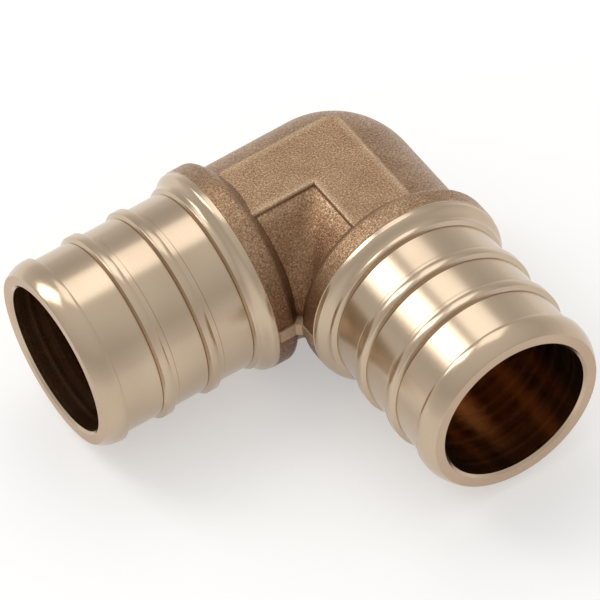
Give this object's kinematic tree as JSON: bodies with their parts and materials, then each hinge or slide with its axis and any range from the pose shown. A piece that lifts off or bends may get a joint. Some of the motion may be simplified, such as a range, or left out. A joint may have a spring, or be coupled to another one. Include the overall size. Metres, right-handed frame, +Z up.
{
  "type": "pex crimp fitting",
  "caption": "One-piece brass elbow with two ribbed spigots at right angles, for joining plastic water pipe with crimp rings.",
  "frame": {"origin": "the point where the two port axes cross", "axes": "+X out of one port, +Y out of the other, +Z up, square to the parting plane that holds both port axes"},
  "size_m": [0.0483, 0.0483, 0.0242],
  "materials": {
    "brass": "blasted forging with satin turned spigots"
  },
  "bodies": {
    "root": {"elbow": "brass"}
  },
  "joints": []
}
